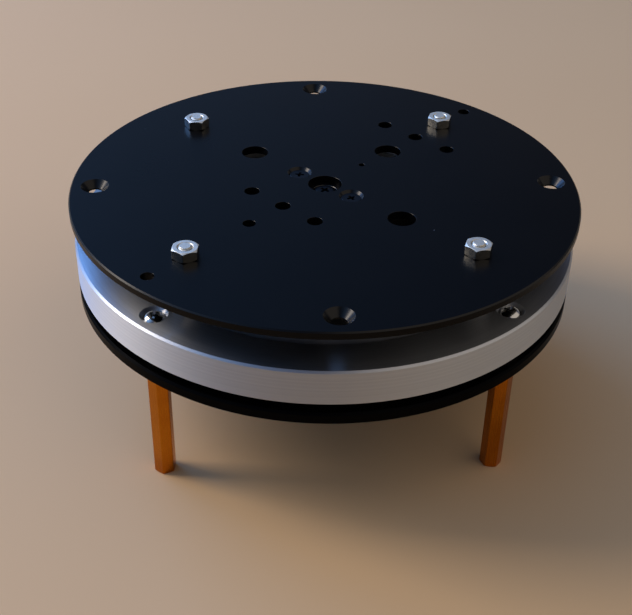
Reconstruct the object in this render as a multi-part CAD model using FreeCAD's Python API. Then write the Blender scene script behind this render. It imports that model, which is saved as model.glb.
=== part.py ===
import FreeCAD, Part
import math
import os

# Turntable base: a round top plate turns on a flat ball bearing over a base plate on four hex legs.
# A servo under the base plate turns it through a splined shaft and a disc horn.
# Millimetres, +Z up, origin on the floor under the turning axis, +X along the servo's length.

# Top plate
plate_d = 120.0
plate_thick = 2.0
plate_edge = 0.3            # chamfer on both rims
centre_hole_d = 8.0         # reaches the horn's centre screw
rim_hole_d = 3.4
rim_hole_top_d = 6.6        # countersink
rim_hole_inset = 5.75       # from the plate's edge
rim_hole_count = 4
index_hole_d = 3.0          # lone pair close to the rim
index_hole_inset = 4.7
row_hole_d = 3.6            # two rows for a bracket
row_span = 49.0             # from row to row
row_shift = 10.0            # middle of the two rows, from the axis
row_pitch = 10.0
row_count = 3
lightening_hole_d = 6.5
lightening_r = 23.4
small_hole_d = 3.0
small_hole_r = 25.4
pilot_hole_d = 1.5
pilot_hole_r = 13.4

# Base plate and legs
base_thick = 3.0
base_edge = 0.5
leg_length = 30.0
leg_flats = 4.5
leg_thread_depth = 10.0
leg_count = 4
leg_turn = -23.5            # degrees, how the legs came to rest
cutout_corner = 1.0
cutout_clearance = 0.3

# Ball bearing
ring_outer_d = 119.0        # the base plate is flush with it
servo_clearance = 1.25      # the rings' bore past the servo's screw heads
ring_height = 8.5
ring_top_chamfer = 0.45     # outer ring, top of the rim
ring_edge = 0.25            # the rings' other edges
ring_gap = 1.8              # between the two rings
race_shift = 0.75           # race circle, inwards from the middle of the two rings
ball_d = 4.0
ball_count = 24
race_clearance = 0.08
cage_height = 5.4
cage_clearance = 0.45       # to each ring
pocket_clearance = 0.15

# Screws and nuts of the bearing
screw_d = 3.0
screw_head_d = 5.5
hole_clearance = 0.2        # on the radius of a through hole
thread_clearance = 0.04     # on the radius of a threaded hole
nut_flats = 5.5
nut_height = 2.4
nut_bevel = 0.35
nut_mouth = 0.3             # chamfer where a nut's thread starts
screw_lead = 0.3            # chamfer at a screw's end
ring_screw_shift = 0.3      # screw circle, inwards from the middle of the outer ring
ring_sink_d = 6.3           # countersinks in the outer ring's face
ring_screw_head_d = 4.8     # raised countersunk heads
ring_screw_rise = 1.2       # height of their domes
ring_screw_grip = 6.0       # length of thread in a leg
bolt_shift = 0.5            # bolt circle, outwards from the middle of the inner ring
bolt_count = 4
bolt_sink = 0.1
bolt_proud = 0.3            # bolt ends above their nuts
spacer_d = 6.0
spacer_edge = 0.2
cross_width = 0.8           # cross recess in the screw heads
cross_span = 3.0
cross_depth = 1.0
nut_turns = (26.0, 12.0, 38.0, 25.0)    # degrees, how the top nuts came to rest, from +X round

# Servo
servo_length = 40.6
servo_width = 19.8
servo_below = 28.0          # case below its flange
servo_above = 10.0          # flange underside to the top of the case
servo_corner = 1.2
axis_shift = 10.2           # middle of the case, from the output axis
bottom_case_height = 7.0
gearbox_rise = 3.5          # top case's seam above the flange underside
flange_reach = 7.0          # past each end of the case
flange_thick = 2.5
flange_hole_reach = 4.45     # hole centres past each end of the case
flange_hole_pitch = 10.0
flange_screw_d = 4.0
flange_head_d = 7.6
flange_head_height = 2.6
flange_nut_flats = 7.0
flange_nut_height = 3.2
flange_screw_proud = 1.0
rib_thick = 1.5
rib_length = 2.2            # along the flange
boss_d = 13.5
boss_height = 1.2
gear_bump_d = 11.0
gear_bump_height = 0.7
gear_bump_shift = 9.5       # second gear's dome, from the output axis
boss_edge = 0.3             # chamfer on the boss and the dome
bush_d = 10.0
bush_depth = 2.6            # below the top of the case
case_screw_d = 2.0
case_screw_head_d = 3.6
case_screw_head_height = 1.5
case_screw_inset = 2.6
case_screw_rise = 4.0       # into the top case
case_screw_sink = 0.3
case_edge = 0.3             # chamfer on the case's top and bottom rims
end_clearance = 0.5         # past the end of a shaft or screw in its blind hole
grommet_width = 7.0
grommet_height = 3.6
grommet_seat = 2.0
grommet_proud = 2.0
grommet_round = 0.5         # round its outer end
lead_slot_width = 4.4
lead_slot_height = 1.5
lead_rise = 3.4             # middle of the lead's exit above the case bottom

# Output shaft and horn
shaft_d = 6.0
shaft_depth = 5.0           # below the top of the case
shaft_clearance = 0.05
spline_tip_d = 5.9
spline_root_d = 5.3
spline_teeth = 25
spline_length = 3.2
spline_clearance = 0.05
horn_gap = 0.5              # horn above the case's boss
horn_height = 7.4
horn_disc_d = 25.0
horn_disc_thick = 2.2
horn_hub_d = 9.5
horn_edge = 0.3             # chamfer on the disc and the hub
horn_fillet = 0.6           # hub into disc
horn_hole_r = 8.25
horn_hole_count = 4
horn_screw_d = 2.5
horn_screw_head_d = 4.7
horn_screw_top_d = 5.8      # countersink in the top plate
horn_screw_grip = 3.0
horn_screw_count = 2
centre_head_d = 5.6
centre_head_height = 2.0
centre_seat_depth = 1.6
centre_screw_length = 8.0

# Working values
past = 1.0                  # how far a cutter runs past a face, or a root into one
quarter = 90.0
base_low = leg_length
base_top = base_low + base_thick
ring_low = base_top + nut_height
ring_top = ring_low + ring_height
race_z = ring_low + ring_height / 2
base_d = ring_outer_d
flange_length = servo_length + 2 * flange_reach
flange_hole_span = servo_length + 2 * flange_hole_reach
ring_bore_r = axis_shift + flange_hole_span / 2 + flange_head_d / 2 + servo_clearance
pitch_r = (ring_outer_d / 2 + ring_bore_r) / 2 - race_shift
outer_bore_r = pitch_r + ring_gap / 2
inner_rim_r = pitch_r - ring_gap / 2
ring_screw_r = (ring_outer_d / 2 + outer_bore_r) / 2 - ring_screw_shift
bolt_r = (ring_bore_r + inner_rim_r) / 2 + bolt_shift
ball_start = 180.0 / ball_count     # degrees, so that the bolts pass between two balls
servo_low = base_top - servo_below
bottom_seam = servo_low + bottom_case_height
top_seam = base_top + gearbox_rise
flange_top = base_top + flange_thick
case_top = base_top + servo_above
boss_top = case_top + boss_height
horn_low = boss_top + horn_gap
spline_top = horn_low + spline_length
plate_low = horn_low + horn_height
plate_top = plate_low + plate_thick
disc_low = plate_low - horn_disc_thick
screw_r = screw_d / 2
thread_r = screw_r + thread_clearance
clear_r = screw_r + hole_clearance
flange_clear_r = flange_screw_d / 2 + hole_clearance
up = FreeCAD.Vector(0, 0, 1)
origin = FreeCAD.Vector(0, 0, 0)


def rod(radius, low, high, x=0.0, y=0.0):
    return Part.makeCylinder(radius, high - low, FreeCAD.Vector(x, y, low), up)


def block(x_low, x_high, y_low, y_high, low, high):
    return Part.makeBox(x_high - x_low, y_high - y_low, high - low, FreeCAD.Vector(x_low, y_low, low))


def turned(profile):
    # Solid of revolution about Z from (radius, height) points.
    points = [FreeCAD.Vector(r, 0, z) for r, z in profile]
    face = Part.Face(Part.makePolygon(points + points[:1]))
    return face.revolve(origin, up, 360)


def eased_rod(radius, edge, low, high):
    # Upright bar with a chamfer round its top.
    return turned([(0, low), (radius, low), (radius, high - edge), (radius - edge, high), (0, high)])


def moved(shape, x, y, z=0.0):
    copy = shape.copy()
    copy.translate(FreeCAD.Vector(x, y, z))
    return copy


def around(shape, count, start=0.0):
    # Copies of a shape, evenly spaced about the axis.
    copies = []
    for i in range(count):
        copy = shape.copy()
        copy.rotate(origin, up, start + 360.0 * i / count)
        copies.append(copy)
    return copies


def spread(shape, places):
    return [moved(shape, x, y) for x, y in places]


def rounded_block(x_mid, length, width, corner, low, high):
    body = block(x_mid - length / 2, x_mid + length / 2, -width / 2, width / 2, low, high)
    upright = [e for e in body.Edges if abs(e.tangentAt(e.FirstParameter).z) > 0.5]
    return body.makeFillet(corner, upright)


def disc(diameter, edge, low, high):
    r = diameter / 2
    return turned([(0, low), (r - edge, low), (r, low + edge), (r, high - edge), (r - edge, high),
                   (0, high)])


def circle_places(radius, count):
    angles = [2 * math.pi * i / count for i in range(count)]
    return [(radius * math.cos(angle), radius * math.sin(angle)) for angle in angles]


def hexagon(flats, low, high, bevel):
    # Hex bar with its corners turned off at both ends.
    corner = flats / math.sqrt(3)
    drop = bevel * math.tan(math.radians(30))
    points = [FreeCAD.Vector(x, y, low) for x, y in circle_places(corner, 6)]
    bar = Part.Face(Part.makePolygon(points + points[:1])).extrude(up * (high - low))
    blank = turned([(0, low), (corner - bevel, low), (corner, low + drop), (corner, high - drop),
                    (corner - bevel, high), (0, high)])
    return bar.common(blank)


def nut(flats, height, bore_r, bevel, low):
    # Hex nut with a 45 degree mouth at both ends of its bore.
    high = low + height
    mouth_r = bore_r + nut_mouth
    bore = turned([(0, low - past), (mouth_r, low - past), (mouth_r, low), (bore_r, low + nut_mouth),
                   (bore_r, high - nut_mouth), (mouth_r, high), (mouth_r, high + past), (0, high + past)])
    return hexagon(flats, low, high, bevel).cut(bore)


def sunk_hole(hole_r, top_r, low, high):
    # Cutter for a through hole with a 90 degree countersink at its top.
    shoulder = high - (top_r - hole_r)
    return turned([(0, low - past), (hole_r, low - past), (hole_r, shoulder), (top_r, high),
                   (top_r, high + past), (0, high + past)])


def cross(top):
    half = cross_width / 2
    reach = cross_span / 2
    low = top - cross_depth
    bar = block(-reach, reach, -half, half, low, top + past)
    return bar.fuse(block(-half, half, -reach, reach, low, top + past))


def sunk_screw(shank_r, head_r, low, high):
    # Countersunk screw, head up, with a cross recess.
    shoulder = high - (head_r - shank_r)
    body = turned([(0, low), (shank_r - screw_lead, low), (shank_r, low + screw_lead), (shank_r, shoulder),
                   (head_r, high), (0, high)])
    return body.cut(cross(high))


def raised_screw(shank_r, head_r, rise, low, rim):
    # Countersunk screw with a domed top, head up, with a cross recess.
    shoulder = rim - (head_r - shank_r)
    body = turned([(0, low), (shank_r - screw_lead, low), (shank_r, low + screw_lead), (shank_r, shoulder),
                   (head_r, rim), (0, rim)])
    dome_r = (head_r ** 2 + rise ** 2) / (2 * rise)
    foot = math.degrees(math.asin((dome_r - rise) / dome_r))
    dome = Part.makeSphere(dome_r, FreeCAD.Vector(0, 0, rim + rise - dome_r), up, foot, quarter, 360)
    return body.fuse(dome).removeSplitter().cut(cross(rim + rise))


def pan_screw(shank_r, head_r, head_height, low, seat):
    # Pan head screw, head up, rounded over the upper half of its head, with a cross recess.
    high = seat + head_height
    body = turned([(0, low), (shank_r - screw_lead, low), (shank_r, low + screw_lead), (shank_r, seat),
                   (head_r, seat), (head_r, high), (0, high)])
    rim = [e for e in body.Edges if e.Closed and e.BoundBox.ZMin > seat + head_height / 2]
    return body.makeFillet(head_height / 2, rim).cut(cross(high))


def upended(shape, low, high):
    # The same shape turned upside down between two heights.
    copy = shape.copy()
    copy.rotate(FreeCAD.Vector(0, 0, (low + high) / 2), FreeCAD.Vector(1, 0, 0), 180)
    return copy


def race():
    return Part.makeTorus(pitch_r, ball_d / 2 + race_clearance, FreeCAD.Vector(0, 0, race_z), up)


def top_plate():
    plate = disc(plate_d, plate_edge, plate_low, plate_top)
    low = plate_low - past
    high = plate_top + past
    rim_r = plate_d / 2 - rim_hole_inset
    index_r = plate_d / 2 - index_hole_inset
    rim_hole = moved(sunk_hole(rim_hole_d / 2, rim_hole_top_d / 2, plate_low, plate_top), rim_r, 0)
    horn_hole = sunk_hole(horn_screw_d / 2 + hole_clearance, horn_screw_top_d / 2, plate_low, plate_top)
    cutters = around(rim_hole, rim_hole_count, quarter / 2)
    cutters += around(moved(horn_hole, 0, horn_hole_r), horn_screw_count)
    cutters += around(rod(clear_r, low, high, bolt_r), bolt_count)
    cutters.append(rod(centre_hole_d / 2, low, high))
    for x in (row_shift + row_span / 2, row_shift - row_span / 2):
        for i in range(row_count):
            cutters.append(rod(row_hole_d / 2, low, high, x, (i - (row_count - 1) / 2) * row_pitch))
    for x, y in ((lightening_r, 0), (0, lightening_r), (0, -lightening_r)):
        cutters.append(rod(lightening_hole_d / 2, low, high, x, y))
    cutters.append(rod(small_hole_d / 2, low, high, -small_hole_r))
    cutters.append(rod(pilot_hole_d / 2, low, high, pilot_hole_r))
    cutters += around(rod(index_hole_d / 2, low, high, index_r), 2)
    for cutter in cutters:
        plate = plate.cut(cutter)
    return plate


def base_plate():
    plate = disc(base_d, base_edge, base_low, base_top)
    low = base_low - past
    high = base_top + past
    room = 2 * cutout_clearance
    opening = rounded_block(axis_shift, servo_length + room, servo_width + room, cutout_corner, low, high)
    plate = plate.cut(opening)
    for hole in around(rod(clear_r, low, high, ring_screw_r), leg_count):
        plate = plate.cut(hole)
    for hole in spread(rod(flange_clear_r, low, high), flange_places()):
        plate = plate.cut(hole)
    return plate


def leg():
    bar = hexagon(leg_flats, 0, leg_length, nut_bevel)
    bar.rotate(origin, up, leg_turn)
    bar = bar.cut(rod(thread_r, -past, leg_thread_depth))
    return bar.cut(rod(thread_r, leg_length - leg_thread_depth, leg_length + past))


def outer_ring():
    r = ring_outer_d / 2
    e = ring_edge
    c = ring_top_chamfer
    ring = turned([(outer_bore_r + e, ring_low), (r - e, ring_low), (r, ring_low + e), (r, ring_top - c),
                   (r - c, ring_top), (outer_bore_r + e, ring_top), (outer_bore_r, ring_top - e),
                   (outer_bore_r, ring_low + e)])
    ring = ring.cut(race())
    hole = sunk_hole(clear_r, ring_sink_d / 2, ring_low, ring_top)
    for cutter in around(moved(hole, ring_screw_r, 0), leg_count):
        ring = ring.cut(cutter)
    return ring


def inner_ring():
    r = ring_bore_r
    e = ring_edge
    ring = turned([(r + e, ring_low), (inner_rim_r - e, ring_low), (inner_rim_r, ring_low + e),
                   (inner_rim_r, ring_top - e), (inner_rim_r - e, ring_top), (r + e, ring_top),
                   (r, ring_top - e), (r, ring_low + e)])
    ring = ring.cut(race())
    hole = upended(sunk_hole(clear_r, screw_head_d / 2 + bolt_sink, ring_low, ring_top), ring_low, ring_top)
    for cutter in around(moved(hole, bolt_r, 0), bolt_count):
        ring = ring.cut(cutter)
    return ring


def bearing_balls():
    ball = Part.makeSphere(ball_d / 2, FreeCAD.Vector(pitch_r, 0, race_z))
    return around(ball, ball_count, ball_start)


def ball_cage():
    half = ring_gap / 2 - cage_clearance
    low = race_z - cage_height / 2
    high = race_z + cage_height / 2
    cage = rod(pitch_r + half, low, high).cut(rod(pitch_r - half, low - past, high + past))
    start = FreeCAD.Vector(pitch_r - half - past, 0, race_z)
    outwards = FreeCAD.Vector(1, 0, 0)
    pocket = Part.makeCylinder(ball_d / 2 + pocket_clearance, 2 * (half + past), start, outwards)
    for cutter in around(pocket, ball_count, ball_start):
        cage = cage.cut(cutter)
    return cage


def ring_screws():
    rim = ring_top - (ring_sink_d - ring_screw_head_d) / 2
    screw = raised_screw(screw_r, ring_screw_head_d / 2, ring_screw_rise, base_low - ring_screw_grip, rim)
    return around(moved(screw, ring_screw_r, 0), leg_count)


def ring_spacer_nuts():
    piece = nut(nut_flats, nut_height, thread_r, nut_bevel, base_top)
    return around(moved(piece, ring_screw_r, 0), leg_count)


def platform_bolts():
    low = ring_low + bolt_sink
    high = plate_top + nut_height + bolt_proud
    bolt = upended(sunk_screw(screw_r, screw_head_d / 2, low, high), low, high)
    return around(moved(bolt, bolt_r, 0), bolt_count)


def platform_nuts():
    piece = nut(nut_flats, nut_height, thread_r, nut_bevel, plate_top)
    nuts = []
    for i, (x, y) in enumerate(circle_places(bolt_r, bolt_count)):
        copy = piece.copy()
        copy.rotate(origin, up, nut_turns[i % len(nut_turns)])
        nuts.append(moved(copy, x, y))
    return nuts


def platform_spacers():
    r = spacer_d / 2
    e = spacer_edge
    spacer = turned([(clear_r, ring_top), (r - e, ring_top), (r, ring_top + e), (r, plate_low - e),
                     (r - e, plate_low), (clear_r, plate_low)])
    return around(moved(spacer, bolt_r, 0), bolt_count)


def flange_places():
    x = flange_hole_span / 2
    y = flange_hole_pitch / 2
    return [(axis_shift + sx * x, sy * y) for sx in (-1, 1) for sy in (-1, 1)]


def case_screw_places():
    x = servo_length / 2 - case_screw_inset
    y = servo_width / 2 - case_screw_inset
    return [(axis_shift + sx * x, sy * y) for sx in (-1, 1) for sy in (-1, 1)]


def case_screw_holes(low, high):
    return spread(rod(case_screw_d / 2 + thread_clearance, low, high), case_screw_places())


def servo_bottom_case():
    case = rounded_block(axis_shift, servo_length, servo_width, servo_corner, servo_low, bottom_seam)
    foot = [e for e in case.Edges if e.BoundBox.ZMax < servo_low + past]
    case = case.makeChamfer(case_edge, foot)
    for hole in case_screw_holes(servo_low - past, bottom_seam + past):
        case = case.cut(hole)
    seat = servo_low + case_screw_sink + case_screw_head_height
    head = rod(case_screw_head_d / 2 + hole_clearance, servo_low - past, seat)
    for hole in spread(head, case_screw_places()):
        case = case.cut(hole)
    return case.cut(grommet_seat_block())


def servo_middle_case():
    case = rounded_block(axis_shift, servo_length, servo_width, servo_corner, bottom_seam, top_seam)
    flange = rounded_block(axis_shift, flange_length, servo_width, servo_corner, base_top, flange_top)
    case = case.fuse(flange)
    for side in (-1, 1):
        end = axis_shift + side * servo_length / 2
        root = end - side * past
        tip = end + side * rib_length
        outline = [(root, flange_top), (tip, flange_top), (end, top_seam), (root, top_seam)]
        points = [FreeCAD.Vector(x, 0, z) for x, z in outline]
        web = Part.Face(Part.makePolygon(points + points[:1])).extrude(FreeCAD.Vector(0, rib_thick, 0))
        case = case.fuse(moved(web, 0, -rib_thick / 2))
    case = case.removeSplitter()
    for hole in spread(rod(flange_clear_r, base_top - past, flange_top + past), flange_places()):
        case = case.cut(hole)
    for hole in case_screw_holes(bottom_seam - past, top_seam + past):
        case = case.cut(hole)
    return case


def servo_top_case():
    case = rounded_block(axis_shift, servo_length, servo_width, servo_corner, top_seam, case_top)
    rim = [e for e in case.Edges if e.BoundBox.ZMin > case_top - past / 2]
    case = case.makeChamfer(case_edge, rim)
    bump = eased_rod(gear_bump_d / 2, boss_edge, top_seam + past, case_top + gear_bump_height)
    case = case.fuse(moved(bump, gear_bump_shift, 0))
    case = case.fuse(eased_rod(boss_d / 2, boss_edge, top_seam + past, boss_top))
    case = case.removeSplitter()
    case = case.cut(rod(bush_d / 2, case_top - bush_depth, boss_top + past))
    shaft_low = case_top - shaft_depth - end_clearance
    case = case.cut(rod(shaft_d / 2 + shaft_clearance, shaft_low, boss_top + past))
    for hole in case_screw_holes(top_seam - past, top_seam + case_screw_rise + end_clearance):
        case = case.cut(hole)
    return case


def servo_case_screws():
    seat = servo_low + case_screw_sink + case_screw_head_height
    tip = top_seam + case_screw_rise
    head_r = case_screw_head_d / 2
    screw = turned([(0, servo_low + case_screw_sink), (head_r, servo_low + case_screw_sink), (head_r, seat),
                    (case_screw_d / 2, seat), (case_screw_d / 2, tip), (0, tip)])
    return spread(screw, case_screw_places())


def servo_output_bush():
    low = case_top - bush_depth
    bore = rod(shaft_d / 2 + shaft_clearance, low - past, boss_top + past)
    return rod(bush_d / 2, low, boss_top).cut(bore)


def grommet_seat_block():
    end = axis_shift - servo_length / 2
    mid = servo_low + lead_rise
    return block(end - past, end + grommet_seat, -grommet_width / 2, grommet_width / 2,
                 mid - grommet_height / 2, mid + grommet_height / 2)


def servo_lead_grommet():
    end = axis_shift - servo_length / 2
    mid = servo_low + lead_rise
    body = block(end - grommet_proud, end + grommet_seat, -grommet_width / 2, grommet_width / 2,
                 mid - grommet_height / 2, mid + grommet_height / 2)
    outer = [e for e in body.Edges if e.BoundBox.XMax < end - grommet_proud / 2]
    body = body.makeFillet(grommet_round, outer)
    slot = block(end - grommet_proud - past, end + grommet_seat + past,
                 -lead_slot_width / 2, lead_slot_width / 2,
                 mid - lead_slot_height / 2, mid + lead_slot_height / 2)
    return body.cut(slot)


def servo_flange_screws():
    low = base_low - flange_nut_height - flange_screw_proud
    screw = pan_screw(flange_screw_d / 2, flange_head_d / 2, flange_head_height, low, flange_top)
    return spread(screw, flange_places())


def servo_flange_nuts():
    piece = nut(flange_nut_flats, flange_nut_height, flange_screw_d / 2 + thread_clearance, nut_bevel,
                base_low - flange_nut_height)
    piece.rotate(origin, up, quarter)
    return spread(piece, flange_places())


def spline(tip_r, root_r, low, high):
    # Bar with pointed teeth around it.
    points = []
    for i in range(2 * spline_teeth):
        angle = math.pi * i / spline_teeth
        r = tip_r if i % 2 == 0 else root_r
        points.append(FreeCAD.Vector(r * math.cos(angle), r * math.sin(angle), low))
    return Part.Face(Part.makePolygon(points + points[:1])).extrude(up * (high - low))


def servo_output_shaft():
    shaft = rod(shaft_d / 2, case_top - shaft_depth, horn_low)
    shaft = shaft.fuse(spline(spline_tip_d / 2, spline_root_d / 2, horn_low, spline_top))
    return shaft.cut(rod(thread_r, disc_low - centre_screw_length, spline_top + past))


def servo_horn():
    seat = plate_low - centre_seat_depth
    r = horn_disc_d / 2
    hub_r = horn_hub_d / 2
    edge = horn_edge
    horn = turned([(0, horn_low), (hub_r - edge, horn_low), (hub_r, horn_low + edge), (hub_r, disc_low),
                   (r - edge, disc_low), (r, disc_low + edge), (r, plate_low - edge), (r - edge, plate_low),
                   (0, plate_low)])
    level = [e for e in horn.Edges if e.Closed and abs(e.CenterOfMass.z - disc_low) < edge / 2]
    horn = horn.makeFillet(horn_fillet, [e for e in level if e.Length < math.pi * (hub_r + r)])
    tip_r = spline_tip_d / 2 + spline_clearance
    root_r = spline_root_d / 2 + spline_clearance
    horn = horn.cut(spline(tip_r, root_r, horn_low - past, spline_top + spline_clearance))
    horn = horn.cut(rod(clear_r, horn_low, plate_low + past))
    horn = horn.cut(rod(centre_head_d / 2 + hole_clearance, seat, plate_low + past))
    tapped = rod(horn_screw_d / 2 + thread_clearance, disc_low - past, plate_low + past, 0, horn_hole_r)
    for hole in around(tapped, horn_hole_count):
        horn = horn.cut(hole)
    return horn


def horn_screws():
    sink = (horn_screw_top_d - horn_screw_head_d) / 2
    high = plate_top - sink
    screw = sunk_screw(horn_screw_d / 2, horn_screw_head_d / 2, plate_low - horn_screw_grip, high)
    return around(moved(screw, 0, horn_hole_r), horn_screw_count)


def horn_centre_screw():
    seat = plate_low - centre_seat_depth
    return pan_screw(screw_r, centre_head_d / 2, centre_head_height, seat - centre_screw_length, seat)


leg_names = ("leg_rear_right", "leg_rear_left", "leg_front_left", "leg_front_right")
pieces = {
    "base_plate": [base_plate()],
    "outer_ring": [outer_ring()],
    "ring_screws": ring_screws(),
    "ring_spacer_nuts": ring_spacer_nuts(),
    "servo_bottom_case": [servo_bottom_case()],
    "servo_middle_case": [servo_middle_case()],
    "servo_top_case": [servo_top_case()],
    "servo_case_screws": servo_case_screws(),
    "servo_output_bush": [servo_output_bush()],
    "servo_lead_grommet": [servo_lead_grommet()],
    "servo_flange_screws": servo_flange_screws(),
    "servo_flange_nuts": servo_flange_nuts(),
    "bearing_balls": bearing_balls(),
    "ball_cage": [ball_cage()],
    "top_plate": [top_plate()],
    "inner_ring": [inner_ring()],
    "platform_bolts": platform_bolts(),
    "platform_nuts": platform_nuts(),
    "platform_spacers": platform_spacers(),
    "servo_output_shaft": [servo_output_shaft()],
    "servo_horn": [servo_horn()],
    "horn_screws": horn_screws(),
    "horn_centre_screw": [horn_centre_screw()],
}
for name, shape in zip(leg_names, around(moved(leg(), ring_screw_r, 0), leg_count)):
    pieces[name] = [shape]

os.makedirs("parts", exist_ok=True)
for name, solids in pieces.items():
    shape = solids[0] if len(solids) == 1 else Part.makeCompound(solids)
    shape.exportStep("parts/" + name + ".step")
    print(name, len(shape.Solids), "solids", round(shape.Volume, 1), "mm3", shape.isValid())
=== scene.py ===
import math
import bpy
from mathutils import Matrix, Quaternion, Vector


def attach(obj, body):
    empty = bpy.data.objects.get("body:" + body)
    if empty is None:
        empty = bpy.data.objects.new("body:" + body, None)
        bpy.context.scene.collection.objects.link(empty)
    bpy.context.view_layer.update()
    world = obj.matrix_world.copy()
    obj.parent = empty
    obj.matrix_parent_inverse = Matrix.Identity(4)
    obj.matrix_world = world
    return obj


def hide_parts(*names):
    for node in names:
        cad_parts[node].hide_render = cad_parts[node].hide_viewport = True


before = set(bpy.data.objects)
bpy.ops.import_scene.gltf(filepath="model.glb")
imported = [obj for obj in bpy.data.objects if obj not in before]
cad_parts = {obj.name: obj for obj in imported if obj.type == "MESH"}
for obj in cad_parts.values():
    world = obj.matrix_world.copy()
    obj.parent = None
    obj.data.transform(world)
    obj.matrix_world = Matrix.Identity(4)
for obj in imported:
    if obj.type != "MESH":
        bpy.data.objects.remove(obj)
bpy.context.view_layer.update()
mm = 0.001               # pieces are modelled at one unit to the millimetre, then brought to metres
fullTurn = 2 * math.pi
spill = 0.2              # how far a cutter runs past a face
mergeGap = 0.0005        # points nearer than this become one
near = 0.01              # an edge this close to a height lies on it
crease = math.radians(30)        # sharper edges are shaded as edges
noiseLow, noiseHigh = 0.3, 0.7   # most of a noise's values lie between these
skinDepth = 0.02 * mm    # bump of blasted, turned and drawn skins
dentDepth = 0.03 * mm    # of tumbled and sintered ones
pebbleDepth = 0.04 * mm  # of moulded ones


def toLinear(code):      # sRGB hex to linear colour
    parts = [int(code[i:i + 2], 16) / 255 for i in (0, 2, 4)]
    return [c / 12.92 if c <= 0.04045 else ((c + 0.055) / 1.055) ** 2.4 for c in parts] + [1.0]


def addNode(tree, kind, settings=None, links=None):
    node = tree.nodes.new(kind)
    for key, value in (settings or {}).items():
        if isinstance(key, str) and hasattr(node, key):
            setattr(node, key, value)
        else:
            node.inputs[key].default_value = value
    for key, source in (links or {}).items():
        tree.links.new(source, node.inputs[key])
    return node


def startMaterial(name, constants):
    material = bpy.data.materials.new(name)
    material.use_nodes = True
    tree = material.node_tree
    shader = tree.nodes["Principled BSDF"]
    for key, value in constants.items():
        shader.inputs[key].default_value = value
    place = addNode(tree, "ShaderNodeTexCoord").outputs["Object"]
    return material, tree, shader, place


def levelness(tree):     # 1 on level faces, 0 on upright walls
    facing = addNode(tree, "ShaderNodeNewGeometry").outputs["True Normal"]
    lean = addNode(tree, "ShaderNodeSeparateXYZ", {}, {0: facing})
    return addNode(tree, "ShaderNodeMath", {"operation": "ABSOLUTE"}, {0: lean.outputs["Z"]}).outputs[0]


def twoTones(dark, pale):        # settings of a mix between two colours
    return {"data_type": "RGBA", 6: toLinear(dark), 7: toLinear(pale)}


def wearRange(look):     # settings that take a noise's values from smooth to rough
    return {"From Min": noiseLow, "From Max": noiseHigh, "To Min": look["smooth"], "To Max": look["rough"]}


def dress(tree, shader, sources):        # links sources to the shader's sockets
    for socket, source in sources.items():
        tree.links.new(source, shader.inputs[socket])


# Bead blasted aluminium, black anodised: a dyed glassy skin over fine dents. Almost no colour of its own,
# a soft reflection of the room, faint smears from handling and a few specks of dust. Countersinks, and the
# rim's chamfer where it is cut after the blasting, are smoother, show dark metal and catch the window.
def blackAnodised(name, look):
    material, tree, shader, place = startMaterial(name, {"IOR": look["ior"],
                                                         "Specular IOR Level": look["gloss"]})
    slope = addNode(tree, "ShaderNodeMath", {"operation": "COMPARE", 1: 0.707, 2: 0.15},      # about 45 degrees
                    {0: levelness(tree)})
    flat = addNode(tree, "ShaderNodeVectorMath", {"operation": "MULTIPLY", 1: (1, 1, 0)}, {0: place})
    out = addNode(tree, "ShaderNodeVectorMath", {"operation": "LENGTH"}, {0: flat.outputs[0]})
    inside = addNode(tree, "ShaderNodeMath", {"operation": "LESS_THAN", 1: look["cutWithin"] * mm},
                     {0: out.outputs["Value"]})
    cut = addNode(tree, "ShaderNodeMath", {"operation": "MULTIPLY"}, {0: slope.outputs[0], 1: inside.outputs[0]})
    smear = addNode(tree, "ShaderNodeTexNoise", {"Scale": 1 / (look["smear"] * mm), "Detail": 3.0,
                                                 "Roughness": 0.6}, {"Vector": place})
    grain = addNode(tree, "ShaderNodeTexNoise", {"Scale": 1 / (look["grain"] * mm), "Detail": 2.0},
                    {"Vector": place})
    dye = addNode(tree, "ShaderNodeMix", twoTones(look["dye"], look["paleDye"]), {0: smear.outputs["Fac"]})
    cell = addNode(tree, "ShaderNodeTexVoronoi", {"Scale": 1 / (look["dustSpacing"] * mm)}, {"Vector": place})
    speck = addNode(tree, "ShaderNodeMath", {"operation": "LESS_THAN", 1: look["dustSize"] / look["dustSpacing"]},
                    {0: cell.outputs["Distance"]})
    dusty = addNode(tree, "ShaderNodeMix", {"data_type": "RGBA", 7: toLinear(look["dust"])},
                    {0: speck.outputs[0], 6: dye.outputs[2]})
    tone = addNode(tree, "ShaderNodeMix", {"data_type": "RGBA", 7: toLinear(look["cutTone"])},
                   {0: cut.outputs[0], 6: dusty.outputs[2]})
    worn = addNode(tree, "ShaderNodeMapRange", wearRange(look), {"Value": smear.outputs["Fac"]})
    rough = addNode(tree, "ShaderNodeMix", {"data_type": "FLOAT", 3: look["cutRough"]},
                    {0: cut.outputs[0], 2: worn.outputs[0]})
    bump = addNode(tree, "ShaderNodeBump", {"Strength": look["bump"], "Distance": skinDepth},
                   {"Height": grain.outputs["Fac"]})
    dress(tree, shader, {"Base Color": tone.outputs[2], "Metallic": cut.outputs[0],
                         "Roughness": rough.outputs[0], "Normal": bump.outputs[0]})
    return material


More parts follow.
